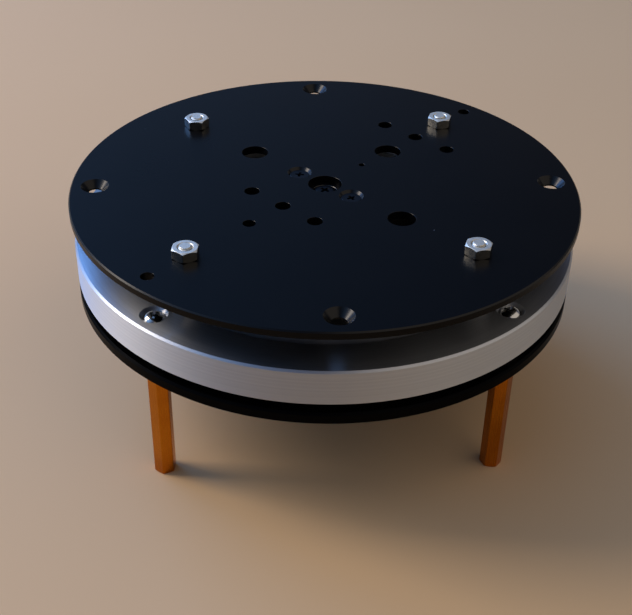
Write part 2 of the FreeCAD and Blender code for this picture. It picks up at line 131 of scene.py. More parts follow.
# Metal cut on a lathe: the tool leaves fine rings about the axis, on the faces by radius and on the walls by
# height. Feed lines are about 0.1 mm apart, too fine to show, so they are drawn coarser. The walls are cut with a
# coarser feed than the faces, so they spread the light further up and down.
def turnedMetal(name, look):
    material, tree, shader, place = startMaterial(name, {"Metallic": 1.0, "Anisotropic": look["anisotropy"],
                                                         "Anisotropic Rotation": 0.25})
    split = addNode(tree, "ShaderNodeSeparateXYZ", {}, {0: place})
    flat = addNode(tree, "ShaderNodeCombineXYZ", {}, {"X": split.outputs["X"], "Y": split.outputs["Y"]})
    radius = addNode(tree, "ShaderNodeVectorMath", {"operation": "LENGTH"}, {0: flat.outputs[0]})
    ringPlace = addNode(tree, "ShaderNodeCombineXYZ", {}, {"X": radius.outputs["Value"], "Y": split.outputs["Z"]})
    lines = addNode(tree, "ShaderNodeTexNoise", {"noise_dimensions": "2D", "Scale": 1 / (look["line"] * mm),
                                                 "Detail": 3.0, "Roughness": 0.7}, {"Vector": ringPlace.outputs[0]})
    stain = addNode(tree, "ShaderNodeTexNoise", {"Scale": 1 / (look["stain"] * mm), "Detail": 4.0},
                    {"Vector": place})
    tone = addNode(tree, "ShaderNodeMix", twoTones(look["dark"], look["pale"]), {0: lines.outputs["Fac"]})
    feed = addNode(tree, "ShaderNodeMapRange", {"To Min": look["wallRough"], "To Max": look["faceRough"]},
                   {"Value": levelness(tree)})
    rough = addNode(tree, "ShaderNodeMath", {"operation": "MULTIPLY_ADD", 1: look["stainRough"]},
                    {0: stain.outputs["Fac"], 2: feed.outputs[0]})
    bump = addNode(tree, "ShaderNodeBump", {"Strength": look["bump"], "Distance": skinDepth},
                   {"Height": lines.outputs["Fac"]})
    along = addNode(tree, "ShaderNodeTangent", {"direction_type": "RADIAL", "axis": "Z"})
    dress(tree, shader, {"Base Color": tone.outputs[2], "Roughness": rough.outputs[0],
                         "Normal": bump.outputs[0], "Tangent": along.outputs[0]})
    return material


# Brass drawn through a die as hex bar: fine streaks along its length, a warm skin that has begun to brown.
def drawnBrass(name, look):
    material, tree, shader, place = startMaterial(name, {"Metallic": 1.0})
    drawn = addNode(tree, "ShaderNodeMapping", {"Scale": (1.0, 1.0, look["stretch"])}, {"Vector": place})
    streak = addNode(tree, "ShaderNodeTexNoise", {"Scale": 1 / (look["streak"] * mm), "Detail": 3.0},
                     {"Vector": drawn.outputs[0]})
    patch = addNode(tree, "ShaderNodeTexNoise", {"Scale": 1 / (look["patch"] * mm), "Detail": 4.0},
                    {"Vector": place})
    browned = addNode(tree, "ShaderNodeMapRange", {"From Min": look["brownFrom"], "From Max": look["brownTo"]},
                      {"Value": patch.outputs["Fac"]})
    tone = addNode(tree, "ShaderNodeMix", twoTones(look["bright"], look["brown"]), {0: browned.outputs[0]})
    rough = addNode(tree, "ShaderNodeMapRange", wearRange(look), {"Value": streak.outputs["Fac"]})
    bump = addNode(tree, "ShaderNodeBump", {"Strength": look["bump"], "Distance": skinDepth},
                   {"Height": streak.outputs["Fac"]})
    dress(tree, shader, {"Base Color": tone.outputs[2], "Roughness": rough.outputs[0], "Normal": bump.outputs[0]})
    return material


# Steel fasteners, barrel finished: soft dents from tumbling under a thin skin of plating or oxide, with
# cloudier and brighter spots. The drawn flats mirror what they face, the end faces are duller and carry a thin
# white bloom.
def tumbledSteel(name, look):
    material, tree, shader, place = startMaterial(name, {})
    dent = addNode(tree, "ShaderNodeTexNoise", {"Scale": 1 / (look["dent"] * mm), "Detail": 2.0},
                   {"Vector": place})
    cloud = addNode(tree, "ShaderNodeTexNoise", {"Scale": 1 / (look["cloud"] * mm), "Detail": 4.0},
                    {"Vector": place})
    tone = addNode(tree, "ShaderNodeMix", twoTones(look["dark"], look["pale"]), {0: cloud.outputs["Fac"]})
    worn = addNode(tree, "ShaderNodeMapRange", wearRange(look), {"Value": cloud.outputs["Fac"]})
    level = levelness(tree)
    rough = addNode(tree, "ShaderNodeMath", {"operation": "MULTIPLY_ADD", 1: look["endRough"]},
                    {0: level, 2: worn.outputs[0]})
    bare = addNode(tree, "ShaderNodeMath", {"operation": "MULTIPLY_ADD", 1: -look["bloom"], 2: 1.0}, {0: level})
    bump = addNode(tree, "ShaderNodeBump", {"Strength": look["bump"], "Distance": dentDepth},
                   {"Height": dent.outputs["Fac"]})
    dress(tree, shader, {"Base Color": tone.outputs[2], "Metallic": bare.outputs[0],
                         "Roughness": rough.outputs[0], "Normal": bump.outputs[0]})
    return material


# Plastic and rubber from a spark eroded mould: an even fine pebble that breaks up the gloss, and slight flow
# marks in the colour.
def mouldedPlastic(name, look):
    material, tree, shader, place = startMaterial(name, {"Metallic": 0.0, "IOR": look["ior"]})
    pebble = addNode(tree, "ShaderNodeTexNoise", {"Scale": 1 / (look["pebble"] * mm), "Detail": 2.0},
                     {"Vector": place})
    flow = addNode(tree, "ShaderNodeTexNoise", {"Scale": 1 / (look["flow"] * mm), "Detail": 3.0},
                   {"Vector": place})
    tone = addNode(tree, "ShaderNodeMix", twoTones(look["dark"], look["pale"]), {0: flow.outputs["Fac"]})
    rough = addNode(tree, "ShaderNodeMapRange", wearRange(look), {"Value": pebble.outputs["Fac"]})
    bump = addNode(tree, "ShaderNodeBump", {"Strength": look["bump"], "Distance": pebbleDepth},
                   {"Height": pebble.outputs["Fac"]})
    dress(tree, shader, {"Base Color": tone.outputs[2], "Roughness": rough.outputs[0], "Normal": bump.outputs[0]})
    return material


# Bronze pressed from powder and sintered: a dull gold with dark pores that hold oil.
def sinteredBronze(name, look):
    material, tree, shader, place = startMaterial(name, {"Metallic": 1.0})
    cell = addNode(tree, "ShaderNodeTexVoronoi", {"Scale": 1 / (look["pore"] * mm)}, {"Vector": place})
    pore = addNode(tree, "ShaderNodeMapRange", {"From Min": look["poreCore"], "From Max": look["poreEdge"]},
                   {"Value": cell.outputs["Distance"]})
    tone = addNode(tree, "ShaderNodeMix", twoTones(look["dark"], look["pale"]), {0: pore.outputs[0]})
    rough = addNode(tree, "ShaderNodeMapRange", {"To Min": look["rough"], "To Max": look["smooth"]},
                    {"Value": pore.outputs[0]})
    bump = addNode(tree, "ShaderNodeBump", {"Strength": look["bump"], "Distance": dentDepth},
                   {"Height": pore.outputs[0]})
    dress(tree, shader, {"Base Color": tone.outputs[2], "Roughness": rough.outputs[0], "Normal": bump.outputs[0]})
    return material


plateLook = {"dye": "030304", "paleDye": "050506", "dust": "7d848e", "cutTone": "2e2e2e", "ior": 1.5,
             "gloss": 0.105, "cutWithin": 61.0, "smear": 16.0, "grain": 0.3, "dustSpacing": 9.0, "dustSize": 0.13,
             "smooth": 0.27, "rough": 0.32, "cutRough": 0.27, "bump": 0.08}
baseLook = {**plateLook, "gloss": 0.02, "cutWithin": 58.0}       # its rim is sawn and left dull
finishes = {
    "black_plate": blackAnodised("black_anodised_bead_blasted_aluminium", plateLook),
    "base_black": blackAnodised("black_anodised_sawn_rim_aluminium", baseLook),
    "ring_aluminium": turnedMetal("turned_aluminium", {
        "dark": "b9bcc2", "pale": "d3d5d8", "line": 0.4, "stain": 18.0, "faceRough": 0.31, "wallRough": 0.54,
        "stainRough": 0.08, "bump": 0.3, "anisotropy": 0.8}),
    "leg_brass": drawnBrass("drawn_brass", {
        "bright": "c97c20", "brown": "aa6016", "brownFrom": 0.35, "brownTo": 0.75, "stretch": 0.02,
        "streak": 0.22, "patch": 12.0, "smooth": 0.22, "rough": 0.32, "bump": 0.12}),
    "plated_steel": tumbledSteel("nickel_plated_steel", {
        "dark": "c8c3b6", "pale": "e4e0d4", "bloom": 0.14, "dent": 0.7, "cloud": 1.6, "smooth": 0.14,
        "rough": 0.22, "endRough": 0.4, "bump": 0.2}),
    "screw_steel": tumbledSteel("nickel_plated_rolled_steel", {
        "dark": "c9c8c4", "pale": "e4e3df", "bloom": 0.0, "dent": 0.7, "cloud": 1.6, "smooth": 0.16,
        "rough": 0.24, "endRough": 0.0, "bump": 0.1}),
    "black_steel": tumbledSteel("black_oxide_steel", {
        "dark": "1d1e21", "pale": "2c2d31", "bloom": 0.0, "dent": 0.7, "cloud": 1.6, "smooth": 0.3,
        "rough": 0.44, "endRough": 0.05, "bump": 0.2}),
    "spacer_aluminium": turnedMetal("turned_spacer_aluminium", {
        "dark": "b4b6ba", "pale": "cfd1d4", "line": 0.3, "stain": 5.0, "faceRough": 0.28, "wallRough": 0.36,
        "stainRough": 0.1, "bump": 0.3, "anisotropy": 0.3}),
    "ball_steel": tumbledSteel("polished_bearing_steel", {
        "dark": "cfd0d2", "pale": "dedfe0", "bloom": 0.0, "dent": 1.2, "cloud": 1.0, "smooth": 0.05,
        "rough": 0.1, "endRough": 0.0, "bump": 0.03}),
    "cage_nylon": mouldedPlastic("moulded_natural_nylon", {
        "dark": "d9d1bd", "pale": "e8e2d2", "ior": 1.53, "pebble": 0.25, "flow": 6.0, "smooth": 0.4,
        "rough": 0.55, "bump": 0.15}),
    "servo_plastic": mouldedPlastic("moulded_black_nylon", {
        "dark": "121214", "pale": "1b1b1e", "ior": 1.5, "pebble": 0.3, "flow": 9.0, "smooth": 0.36,
        "rough": 0.55, "bump": 0.35}),
    "bush_bronze": sinteredBronze("sintered_bronze", {
        "dark": "5d4022", "pale": "b98a4f", "pore": 0.22, "poreCore": 0.15, "poreEdge": 0.35, "smooth": 0.34,
        "rough": 0.7, "bump": 0.3}),
    "shaft_steel": turnedMetal("machined_steel", {
        "dark": "a2a2a3", "pale": "c2c2c2", "line": 0.25, "stain": 4.0, "faceRough": 0.22, "wallRough": 0.28,
        "stainRough": 0.1, "bump": 0.25, "anisotropy": 0.3}),
    "grommet_rubber": mouldedPlastic("moulded_rubber", {
        "dark": "161616", "pale": "202020", "ior": 1.52, "pebble": 0.4, "flow": 5.0, "smooth": 0.6,
        "rough": 0.8, "bump": 0.25}),
    "horn_aluminium": blackAnodised("black_anodised_turned_aluminium", {
        "dye": "060608", "paleDye": "0a0a0d", "dust": "6f757d", "cutTone": "383838", "ior": 1.5, "gloss": 0.2,
        "cutWithin": 60.0, "smear": 8.0, "grain": 0.3, "dustSpacing": 6.0, "dustSize": 0.1, "smooth": 0.26,
        "rough": 0.36, "cutRough": 0.24, "bump": 0.08}),
}
print("finishes:", len(finishes))


def take(size, names):   # several values of a dictionary at once
    return [size[name] for name in names.split()]


def deselectAll():
    if bpy.context.mode != "OBJECT":
        bpy.ops.object.mode_set(mode="OBJECT")
    bpy.ops.object.select_all(action="DESELECT")


def takeUp(piece):       # the only piece selected, and the active one
    deselectAll()
    piece.select_set(True)
    bpy.context.view_layer.objects.active = piece


def settle():            # puts the selected piece's place, turn and size into its mesh
    bpy.ops.object.transform_apply(location=True, rotation=True, scale=True)


def startPick(piece, kind):
    takeUp(piece)
    bpy.ops.object.mode_set(mode="EDIT")
    bpy.ops.mesh.select_mode(type=kind)
    bpy.ops.mesh.select_all(action="DESELECT")
    bpy.ops.object.mode_set(mode="OBJECT")


def pickFaces(piece, test):      # leaves the piece in edit mode, with the faces that pass the test selected
    startPick(piece, "FACE")
    for face in piece.data.polygons:
        face.select = test(face)
    bpy.ops.object.mode_set(mode="EDIT")


def pickEdges(piece, test):      # the same for edges, by their two ends
    startPick(piece, "EDGE")
    points = piece.data.vertices
    for edge in piece.data.edges:
        edge.select = test(points[edge.vertices[0]].co, points[edge.vertices[1]].co)
    bpy.ops.object.mode_set(mode="EDIT")


def isUpright(a, b):     # an edge's two ends
    return abs(a.z - b.z) > 1


def runProfile(name, profile):   # one vertex run along (radius, height) points, left in edit mode
    deselectAll()
    bpy.ops.mesh.primitive_plane_add(size=1)
    piece = bpy.context.object
    piece.name = name
    bpy.ops.object.mode_set(mode="EDIT")
    bpy.ops.mesh.select_mode(type="VERT")
    bpy.ops.mesh.select_all(action="SELECT")
    bpy.ops.mesh.merge(type="CENTER")
    radius, height = profile[0]
    bpy.ops.transform.translate(value=(radius, 0, height))
    for nextRadius, nextHeight in profile[1:]:
        step = (nextRadius - radius, 0, nextHeight - height)
        bpy.ops.mesh.extrude_region_move(TRANSFORM_OT_translate={"value": step})
        radius, height = nextRadius, nextHeight
    return piece


def turnOnLathe(name, profile, steps):
    piece = runProfile(name, profile)
    bpy.ops.mesh.select_all(action="SELECT")
    bpy.ops.mesh.spin(steps=steps, angle=fullTurn, center=(0, 0, 0), axis=(0, 0, 1))
    bpy.ops.mesh.select_all(action="SELECT")
    bpy.ops.mesh.remove_doubles(threshold=mergeGap)
    bpy.ops.mesh.normals_make_consistent(inside=False)
    bpy.ops.object.mode_set(mode="OBJECT")
    return piece


def chamferedDisc(name, size):
    radius, low, high, chamfer = take(size, "radius low high chamfer")
    return turnOnLathe(name, [(0, low), (radius - chamfer, low), (radius, low + chamfer), (radius, high - chamfer),
                              (radius - chamfer, high), (0, high)], size["steps"])


def addBlock(name, xMid, length, width, low, high):
    deselectAll()
    bpy.ops.mesh.primitive_cube_add(size=1, location=(xMid, 0, (low + high) / 2),
                                    scale=(length, width, high - low))
    piece = bpy.context.object
    piece.name = name
    settle()
    return piece


def bevelEdges(piece, test, width, segments):
    pickEdges(piece, test)
    bpy.ops.mesh.bevel(offset=width, segments=segments, affect="EDGES", clamp_overlap=True)
    bpy.ops.object.mode_set(mode="OBJECT")


def copyPiece(piece, name, x=0.0, y=0.0, z=0.0, turn=0.0):       # turned about the upright axis, then moved
    takeUp(piece)
    bpy.ops.object.duplicate(linked=False)
    copy = bpy.context.object
    copy.name = name
    copy.rotation_euler.z = math.radians(turn)
    copy.location = (x, y, z)
    settle()
    return copy


def upend(piece):        # upside down through the floor plane
    takeUp(piece)
    piece.rotation_euler.x = math.pi
    settle()
    return piece


def combine(piece, others, operation="DIFFERENCE"):
    deselectAll()
    for other in others:
        other.select_set(True)
    bpy.context.view_layer.objects.active = others[0]
    if len(others) > 1:
        bpy.ops.object.join()
    takeUp(piece)
    change = piece.modifiers.new("combine", "BOOLEAN")
    change.operation = operation
    change.solver = "EXACT"
    change.object = others[0]
    bpy.ops.object.modifier_apply(modifier=change.name)
    bpy.data.objects.remove(others[0])


def drop(piece):
    bpy.data.objects.remove(piece)


def finishPiece(piece, body, slot, node, finish=None):   # a finish of its own, or the one of its slot
    takeUp(piece)
    bpy.ops.object.mode_set(mode="EDIT")
    bpy.ops.mesh.select_all(action="SELECT")
    bpy.ops.mesh.remove_doubles(threshold=mergeGap)
    bpy.ops.mesh.dissolve_degenerate(threshold=mergeGap)
    bpy.ops.mesh.select_all(action="SELECT")
    bpy.ops.mesh.normals_make_consistent(inside=False)
    bpy.ops.object.mode_set(mode="OBJECT")
    piece.scale = (mm, mm, mm)
    settle()
    bpy.ops.object.shade_smooth_by_angle(angle=crease)
    piece.data.materials.clear()
    piece.data.materials.append(finishes[finish or slot])
    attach(piece, body)
    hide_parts(node)


def holeCutter(radius, low, high, lowFlare, highFlare, steps):   # flares are 45 degree cones at the two faces
    return turnOnLathe("cutter", [
        (0, low - spill), (radius + lowFlare + spill, low - spill), (radius, low + lowFlare),
        (radius, high - highFlare), (radius + highFlare + spill, high + spill), (0, high + spill)], steps)


def cutHoles(piece, holes, low, high):   # holes: (radius, low flare, high flare, steps, places)
    cutters = []
    for radius, lowFlare, highFlare, steps, places in holes:
        cutter = holeCutter(radius, low, high, lowFlare, highFlare, steps)
        cutters += [copyPiece(cutter, "cutter", x, y) for x, y in places]
        drop(cutter)
    combine(piece, cutters)


def circlePlaces(radius, count, start=0.0):
    turns = [math.radians(start + 360 * i / count) for i in range(count)]
    return [(radius * math.cos(turn), radius * math.sin(turn)) for turn in turns]


def fourPlaces(xMid, reach):     # at the corners of a rectangle
    return [(xMid + i * reach[0], j * reach[1]) for i in (-1, 1) for j in (-1, 1)]


def hexBar(name, size, low, high):
    flats, chamfer, steps = take(size, "flats chamfer steps")
    corner = flats / math.sqrt(3)
    hexTurn = math.radians(30)
    deselectAll()
    bpy.ops.mesh.primitive_cylinder_add(vertices=6, radius=corner, depth=high - low + 2,
                                        location=(0, 0, (low + high) / 2), rotation=(0, 0, hexTurn))
    bar = bpy.context.object
    bar.name = name
    settle()
    bevelEdges(bar, isUpright, size["round"], 3)
    past = corner + spill
    fall = (chamfer + spill) * math.tan(math.radians(30))        # 30 degree chamfer
    blank = turnOnLathe("blank", [(0, low), (corner - chamfer, low), (past, low + fall), (past, high - fall),
                                  (corner - chamfer, high), (0, high)], steps)
    combine(bar, [blank], "INTERSECT")
    return bar


def hexNut(size):
    nut = hexBar("nut", size, 0, size["height"])
    bore, flare, steps = take(size, "bore boreFlare boreSteps")
    cutHoles(nut, [(bore, flare, flare, steps, [(0, 0)])], 0, size["height"])
    return nut


def threadedRod(name, crest, pitch, low, high, lead, steps):
    root = crest - 0.6134 * pitch        # 60 degree thread
    start = low - 2 * pitch
    tooth = [(root, 0), (root, 0.25), (crest, 0.5625), (crest, 0.6875), (root, 1)]       # radius, share of pitch
    rod = runProfile(name, [(radius, start + share * pitch) for radius, share in tooth])
    bpy.ops.object.mode_set(mode="OBJECT")
    change = rod.modifiers.new("thread", "SCREW")
    change.axis = "Z"
    change.angle = fullTurn
    change.screw_offset = pitch
    change.iterations = math.ceil((high - low) / pitch) + 4      # two turns past each end, cut off below
    change.steps = steps
    change.render_steps = steps
    change.use_merge_vertices = True
    change.merge_threshold = mergeGap
    bpy.ops.object.modifier_apply(modifier=change.name)
    bpy.ops.object.mode_set(mode="EDIT")
    bpy.ops.mesh.select_all(action="SELECT")
    bpy.ops.mesh.remove_doubles(threshold=mergeGap)
    for height, above in ((low, False), (high + spill / 2, True)):
        bpy.ops.mesh.select_all(action="SELECT")
        bpy.ops.mesh.bisect(plane_co=(0, 0, height), plane_no=(0, 0, 1), use_fill=True, clear_inner=not above,
                            clear_outer=above, threshold=0.0001)
    bpy.ops.mesh.select_all(action="SELECT")
    bpy.ops.mesh.normals_make_consistent(inside=False)
    bpy.ops.object.mode_set(mode="OBJECT")
    past = crest + spill
    blank = turnOnLathe("blank", [(0, low - 1), (past, low - 1), (past, high - lead - spill), (crest - lead, high),
                                  (0, high)], steps)
    combine(rod, [blank], "INTERSECT")
    return rod


def crossCutter(recess, top):    # four-winged driver recess, narrower at its foot; recess: span, width, depth
    span, width, depth = recess
    wings = []
    for turn in (0, 90):
        wing = addBlock("cutter", 0, span, width, top - depth, top + 2 * spill)
        pickFaces(wing, lambda face: face.normal.z < -0.9)
        bpy.ops.transform.resize(value=(0.45, 0.7, 1))
        bpy.ops.object.mode_set(mode="OBJECT")
        wing.rotation_euler.z = math.radians(turn)
        takeUp(wing)
        settle()
        wings.append(wing)
    combine(wings[0], wings[1:], "UNION")
    return wings[0]


corners = {"rear_right": 0, "rear_left": 90, "front_left": 180, "front_right": 270}     # degrees about the axis


def setAround(piece, name, radius, fitting, z=0.0, turns=corners):       # a copy at each corner, then the first goes
    for corner, turn in corners.items():
        x, y = circlePlaces(radius, 1, turn)[0]
        finishPiece(copyPiece(piece, name + "_" + corner, x, y, z, turns[corner]), *fitting)
    drop(piece)


# Top plate
topPlate = {"radius": 59.98, "low": 52.1, "high": 54.1, "chamfer": 0.3, "deburr": 0.04, "steps": 256,
            "rimHole": 1.7, "rimSink": 1.6, "rimRadius": 54.25, "hornHole": 1.45, "hornSink": 1.45,
            "hornRadius": 8.25, "bolt": 1.7, "boltRadius": 44.55, "centre": 4.0, "row": 1.8,
            "rowX": (34.5, -14.5), "rowY": (-10.0, 0.0, 10.0), "window": 3.25, "windowRadius": 23.4,
            "small": 1.5, "smallRadius": 25.4, "pilot": 0.75, "pilotRadius": 13.4, "index": 1.5,
            "indexRadius": 55.3}
plate = chamferedDisc("topPlate", topPlate)
burr = topPlate["deburr"]
rows = [(x, y) for x in topPlate["rowX"] for y in topPlate["rowY"]]
windows = circlePlaces(topPlate["windowRadius"], 4)[:2] + [(0, -topPlate["windowRadius"])]
cutHoles(plate, [
    (topPlate["rimHole"], burr, topPlate["rimSink"], 64, circlePlaces(topPlate["rimRadius"], 4, 45)),
    (topPlate["hornHole"], burr, topPlate["hornSink"], 64, circlePlaces(topPlate["hornRadius"], 2, 90)),
    (topPlate["bolt"], burr, burr, 48, circlePlaces(topPlate["boltRadius"], 4)),
    (topPlate["centre"], burr, burr, 72, [(0, 0)]),
    (topPlate["row"], burr, burr, 48, rows),
    (topPlate["window"], burr, burr, 64, windows),
    (topPlate["small"], burr, burr, 48, [(-topPlate["smallRadius"], 0)]),
    (topPlate["pilot"], burr, burr, 32, [(topPlate["pilotRadius"], 0)]),
    (topPlate["index"], burr, burr, 48, circlePlaces(topPlate["indexRadius"], 2)),
], topPlate["low"], topPlate["high"])
finishPiece(plate, "platform", "black_plate", "top_plate")
print("top plate:", len(plate.data.polygons), "faces")

# Base plate with the opening for the servo
basePlate = {"radius": 59.5, "low": 30.0, "high": 33.0, "chamfer": 0.5, "deburr": 0.15, "steps": 256,
             "opening": (41.2, 20.4), "openingX": 10.2, "openingCorner": 1.0, "legHole": 1.7, "legRadius": 54.4,
             "flangeHole": 2.2, "flangeReach": (24.75, 5.0), "holeSteps": 48}
plate = chamferedDisc("basePlate", basePlate)
low, high, burr, steps, openingX = take(basePlate, "low high deburr holeSteps openingX")
flangePlaces = fourPlaces(openingX, basePlate["flangeReach"])
cutHoles(plate, [
    (basePlate["legHole"], burr, burr, steps, circlePlaces(basePlate["legRadius"], 4)),
    (basePlate["flangeHole"], burr, burr, steps, flangePlaces),
], low, high)
opening = addBlock("opening", openingX, *basePlate["opening"], low - 1, high + 1)
bevelEdges(opening, isUpright, basePlate["openingCorner"], 8)
combine(plate, [opening])
finishPiece(plate, "base", "black_plate", "base_plate", "base_black")
print("base plate:", len(plate.data.polygons), "faces")

# Rings of the ball bearing, with the race for the balls turned into their facing walls
rings = {"low": 35.4, "high": 43.9, "outer": 59.5, "outerBore": 49.9, "inner": 48.1, "innerBore": 40.0,
         "chamfer": 0.45, "edge": 0.25, "pitch": 49.0, "race": 2.08, "raceSteps": 14, "steps": 256,
         "screwHole": 1.7, "screwSink": 1.45, "screwRadius": 54.4, "boltHole": 1.7, "boltSink": 1.15,
         "boltRadius": 44.55, "deburr": 0.15, "holeSteps": 64}
low, high, chamfer, edge, burr, steps = take(rings, "low high chamfer edge deburr holeSteps")
outer, bore, pitch, race = take(rings, "outer outerBore pitch race")
sweep = math.acos((bore - pitch) / race)
groove = []
for i in range(rings["raceSteps"] + 1):
    turn = sweep - 2 * sweep * i / rings["raceSteps"]
    groove.append((race * math.cos(turn), (low + high) / 2 + race * math.sin(turn)))
profile = [(bore + edge, low), (outer - edge, low), (outer, low + edge), (outer, high - chamfer),
           (outer - chamfer, high), (bore + edge, high), (bore, high - edge)]
profile += [(pitch + out, height) for out, height in groove]
profile += [(bore, low + edge), (bore + edge, low)]
ring = turnOnLathe("outerRing", profile, rings["steps"])
places = circlePlaces(rings["screwRadius"], 4)
cutHoles(ring, [(rings["screwHole"], burr, rings["screwSink"], steps, places)], low, high)
finishPiece(ring, "base", "ring_aluminium", "outer_ring")
outer, bore = take(rings, "inner innerBore")
profile = [(bore + edge, low), (outer - edge, low), (outer, low + edge)]
profile += [(pitch - out, height) for out, height in reversed(groove)]
profile += [(outer, high - edge), (outer - edge, high), (bore + edge, high), (bore, high - edge),
            (bore, low + edge), (bore + edge, low)]
ring = turnOnLathe("innerRing", profile, rings["steps"])
places = circlePlaces(rings["boltRadius"], 4)
cutHoles(ring, [(rings["boltHole"], rings["boltSink"], burr, steps, places)], low, high)
finishPiece(ring, "platform", "ring_aluminium", "inner_ring")
print("bearing rings:", len(ring.data.polygons), "faces in the inner one")

# Hex legs with a thread at the foot
legs = {"flats": 4.5, "length": 30.0, "chamfer": 0.4, "round": 0.1, "radius": 54.4, "turn": -23.5, "bore": 1.54,
        "boreDepth": 10.0, "pitch": 0.5, "tapLead": 0.6, "mouth": 0.2, "mouthDepth": 0.6, "steps": 48}
top, bore, boreDepth, mouth, mouthDepth, steps = take(legs, "length bore boreDepth mouth mouthDepth steps")
leg = hexBar("leg", legs, 0, top)
tapped = threadedRod("tap", bore, legs["pitch"], -spill, boreDepth, legs["tapLead"], steps)
funnel = turnOnLathe("mouth", [(0, -spill), (bore + mouth + spill, -spill), (bore + mouth - mouthDepth, mouthDepth),
                               (0, mouthDepth)], steps)
combine(leg, [tapped])
combine(leg, [funnel])
combine(leg, [turnOnLathe("bore", [(0, top - boreDepth), (bore, top - boreDepth), (bore, top - mouth),
                                   (bore + mouth + spill, top + spill), (0, top + spill)], steps)])
placed = copyPiece(leg, "placedLeg", legs["radius"], turn=legs["turn"])
for corner, turn in corners.items():
    finishPiece(copyPiece(placed, "legBar_" + corner, turn=turn), "base", "leg_brass", "leg_" + corner)
drop(leg)
drop(placed)
print("legs:", len(corners))

# Nuts on the platform bolts, and the nuts that hold the rings off the base plate
nuts = {"flats": 5.5, "height": 2.4, "chamfer": 0.5, "round": 0.06, "bore": 1.54, "boreFlare": 0.32, "steps": 96,
        "boreSteps": 64, "topLow": 54.1, "topRadius": 44.55, "lowLow": 33.0, "lowRadius": 54.4,
        "topTurns": {"rear_right": 26, "rear_left": 12, "front_left": 38, "front_right": 25}}
nut = hexNut(nuts)
lowNut = copyPiece(nut, "lowNut")
setAround(nut, "platformNut", nuts["topRadius"], ("platform", "plated_steel", "platform_nuts"), nuts["topLow"],
          nuts["topTurns"])
setAround(lowNut, "ringSpacerNut", nuts["lowRadius"], ("base", "plated_steel", "ring_spacer_nuts"), nuts["lowLow"])
print("nuts:", 2 * len(corners))

# Platform bolts: countersunk head under the inner ring, thread showing above the nut
bolts = {"head": 2.75, "headEdge": 0.05, "shank": 1.5, "low": 35.5, "high": 56.8, "threadLow": 52.5, "pitch": 0.5,
         "lead": 0.3, "radius": 44.55, "steps": 64, "recess": (3.0, 0.8, 1.0)}
head, edge, shank, low, threadLow, steps = take(bolts, "head headEdge shank low threadLow steps")
bolt = turnOnLathe("bolt", [(0, low), (head - 2 * edge, low), (head - edge, low + edge),
                            (shank, low + head - shank), (shank, threadLow + spill), (0, threadLow + spill)], steps)
rod = threadedRod("thread", shank, bolts["pitch"], threadLow, bolts["high"], bolts["lead"], steps)
combine(bolt, [rod], "UNION")
combine(bolt, [upend(crossCutter(bolts["recess"], -low))])
setAround(bolt, "platformBolt", bolts["radius"], ("platform", "plated_steel", "platform_bolts"))
print("platform bolts:", len(corners))

# Ring screws: countersunk with a domed head and a cross recess, down through the base plate into the legs
screws = {"head": 2.4, "shank": 1.5, "low": 24.0, "rim": 43.15, "rise": 1.2, "lead": 0.3, "radius": 54.4,
          "steps": 64, "domeSteps": 10, "recess": (2.9, 0.75, 0.9),
          "turns": {"rear_right": 20, "rear_left": 65, "front_left": 38, "front_right": 8}}
head, shank, low, rim, rise, lead = take(screws, "head shank low rim rise lead")
domeRadius = (head ** 2 + rise ** 2) / (2 * rise)
domeSweep = math.asin(head / domeRadius)
domeTurns = [domeSweep * i / screws["domeSteps"] for i in range(screws["domeSteps"], 0, -1)]
dome = [(domeRadius * math.sin(turn), rim + rise - domeRadius + domeRadius * math.cos(turn)) for turn in domeTurns]
screw = turnOnLathe("screw", [(0, low), (shank - lead, low), (shank, low + lead), (shank, rim - (head - shank)),
                              *dome, (0, rim + rise)], screws["steps"])
combine(screw, [crossCutter(screws["recess"], rim + rise)])
setAround(screw, "ringScrew", screws["radius"], ("base", "plated_steel", "ring_screws", "screw_steel"),
          turns=screws["turns"])
print("ring screws:", len(corners))

# Spacers between the inner ring and the top plate
spacers = {"outer": 3.0, "bore": 1.7, "low": 43.9, "high": 52.1, "edge": 0.2, "radius": 44.55, "steps": 64}
outer, bore, low, high, edge = take(spacers, "outer bore low high edge")
spacer = turnOnLathe("spacer", [(bore + edge, low), (outer - edge, low), (outer, low + edge), (outer, high - edge),
                                (outer - edge, high), (bore + edge, high), (bore, high - edge), (bore, low + edge),
                                (bore + edge, low)], spacers["steps"])
setAround(spacer, "platformSpacer", spacers["radius"], ("platform", "spacer_aluminium", "platform_spacers"))
print("spacers:", len(corners))

# Servo housing in three mouldings, with a fine groove at each seam, and the gland for its lead
servo = {"xMid": 10.2, "length": 40.6, "width": 19.8, "corner": 1.2, "low": 5.0, "lowSeam": 12.0,
         "highSeam": 36.5, "high": 43.0, "rim": 0.4, "seam": 0.22, "deburr": 0.15, "flangeLow": 33.0,
         "flangeHigh": 35.5, "flangeLength": 54.6, "flangeEdge": 0.35, "flangeHole": 2.2, "rib": 1.5,
         "ribReach": 2.2, "ribFoot": 0.5, "ribTaper": (0.4, 0.8, 1), "screwReach": (17.7, 7.3),
         "screwHole": 1.04, "screwSeat": 2.0, "screwSeatHigh": 6.8, "screwHigh": 41.0, "bossRound": 0.3,
         "boss": (6.75, 0, 44.2), "bump": (5.5, 9.5, 43.7), "bush": 5.0, "bushLow": 40.4, "shaft": 3.05,
         "shaftLow": 37.5}       # boss and bump: radius, x, height
grommet = {"deep": 2.0, "wide": 7.0, "low": 6.6, "high": 10.2, "proud": 2.0, "slot": (4.4, 1.5), "round": 0.5}
screwPlaces = fourPlaces(servo["xMid"], servo["screwReach"])
arcMid = 0.3             # how far the middle of a round stays off its corner, as a share of its radius


